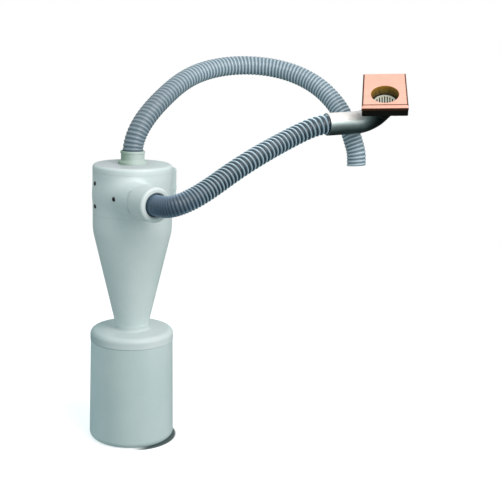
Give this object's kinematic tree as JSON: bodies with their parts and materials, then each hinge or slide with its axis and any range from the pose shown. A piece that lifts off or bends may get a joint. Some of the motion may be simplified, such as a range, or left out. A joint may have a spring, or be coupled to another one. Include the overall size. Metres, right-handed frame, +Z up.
{
  "type": "cyclone dust collector",
  "caption": "Small cyclone dust collector: a bin, a cone and a separating chamber, with ribbed inlet and outlet hoses, a pipe elbow and a wooden suction block with a round hole.",
  "frame": {"origin": "centre of the bin's foot, on the floor", "axes": "+Z up along the cyclone's axis, -Y towards the viewer who sees the inlet, +X to the right towards the suction block"},
  "size_m": [0.6864, 0.5114, 0.8384],
  "materials": {
    "tub": "translucent off-white moulded plastic, fine texture",
    "housing": "off-white moulded plastic with a faint green-grey cast",
    "foam": "closed-cell foam",
    "seal": "thin pale silicone rubber",
    "inner_black": "black moulded plastic",
    "steel": "zinc-plated steel",
    "screw_black": "black oxide screw",
    "cuff": "dark slate rubber",
    "hose": "grey-blue ribbed PVC hose",
    "elbow_pipe": "satin metal pipe bend",
    "beech": "steamed beech, oiled",
    "base_black": "black moulded plastic",
    "grille": "pale grey slotted disc"
  },
  "bodies": {
    "bin_body": {"bin": "tub"},
    "cyclone": {"bin_lid": "tub", "lid_gasket": "foam", "cone": "housing", "cone_lock_ring": "inner_black", "drum": "housing", "drum_gasket": "seal", "wear_plate": "steel", "housing_screws": "screw_black", "screw_nuts": "steel", "inlet_collar": "housing", "top_cap": "housing", "cap_gasket": "seal", "outlet_collar": "housing", "collar_nut": "inner_black", "vortex_finder": "inner_black", "rear_bracket": "housing", "bracket_screws": "steel"},
    "outlet_near": {"outlet_hose_cuff": "cuff", "outlet_hose_a": "hose"},
    "outlet_far": {"outlet_hose_b": "hose"},
    "inlet_near": {"inlet_hose_cuff": "cuff", "inlet_hose_a": "hose"},
    "inlet_mid": {"inlet_hose_b": "hose"},
    "inlet_far": {"inlet_hose_c": "hose"},
    "elbow_body": {"elbow": "elbow_pipe", "elbow_seal": "seal"},
    "block_body": {"suction_block": "beech", "block_base": "base_black", "hole_grille": "grille", "block_screws": "steel"}
  },
  "joints": [
    {"name": "bin_lift", "type": "slide", "parent": "bin_body", "child": "cyclone", "axis": [0, 0, 1], "range_m": [0, 0.12]},
    {"name": "outlet_swivel", "type": "hinge", "parent": "cyclone", "child": "outlet_near", "pos_m": [0, 0, 0.62], "axis": [0, 0, 1], "range_deg": [0, 150]},
    {"name": "outlet_bend", "type": "hinge", "parent": "outlet_near", "child": "outlet_far", "pos_m": [0.2402, 0.2875, 0.8169], "axis": [-0.16, 0.9871, 0], "range_deg": [0, 16]},
    {"name": "inlet_swivel", "type": "hinge", "parent": "cyclone", "child": "inlet_near", "pos_m": [0.06626, -0.1529, 0.551], "axis": [0.6209, -0.7839, 0], "range_deg": [0, 30]},
    {"name": "inlet_raise", "type": "hinge", "parent": "inlet_near", "child": "inlet_mid", "pos_m": [0.1912, -0.1268, 0.6002], "axis": [0.7234, -0.6904, 0], "range_deg": [0, 15]},
    {"name": "inlet_swing", "type": "hinge", "parent": "inlet_mid", "child": "inlet_far", "pos_m": [0.2968, -0.0055, 0.6572], "axis": [0, 0, 1], "range_deg": [-16, 3]},
    {"name": "elbow_swivel", "type": "hinge", "parent": "inlet_far", "child": "elbow_body", "pos_m": [0.41563, 0.09, 0.70101], "axis": [0.9198, 0.3893, 0.0489], "range_deg": [-25, 40]},
    {"name": "block_swivel", "type": "hinge", "parent": "elbow_body", "child": "block_body", "pos_m": [0.54279, 0.10311, 0.744], "axis": [0.54, -0.5, 0.6771], "range_deg": [-90, 90]}
  ]
}
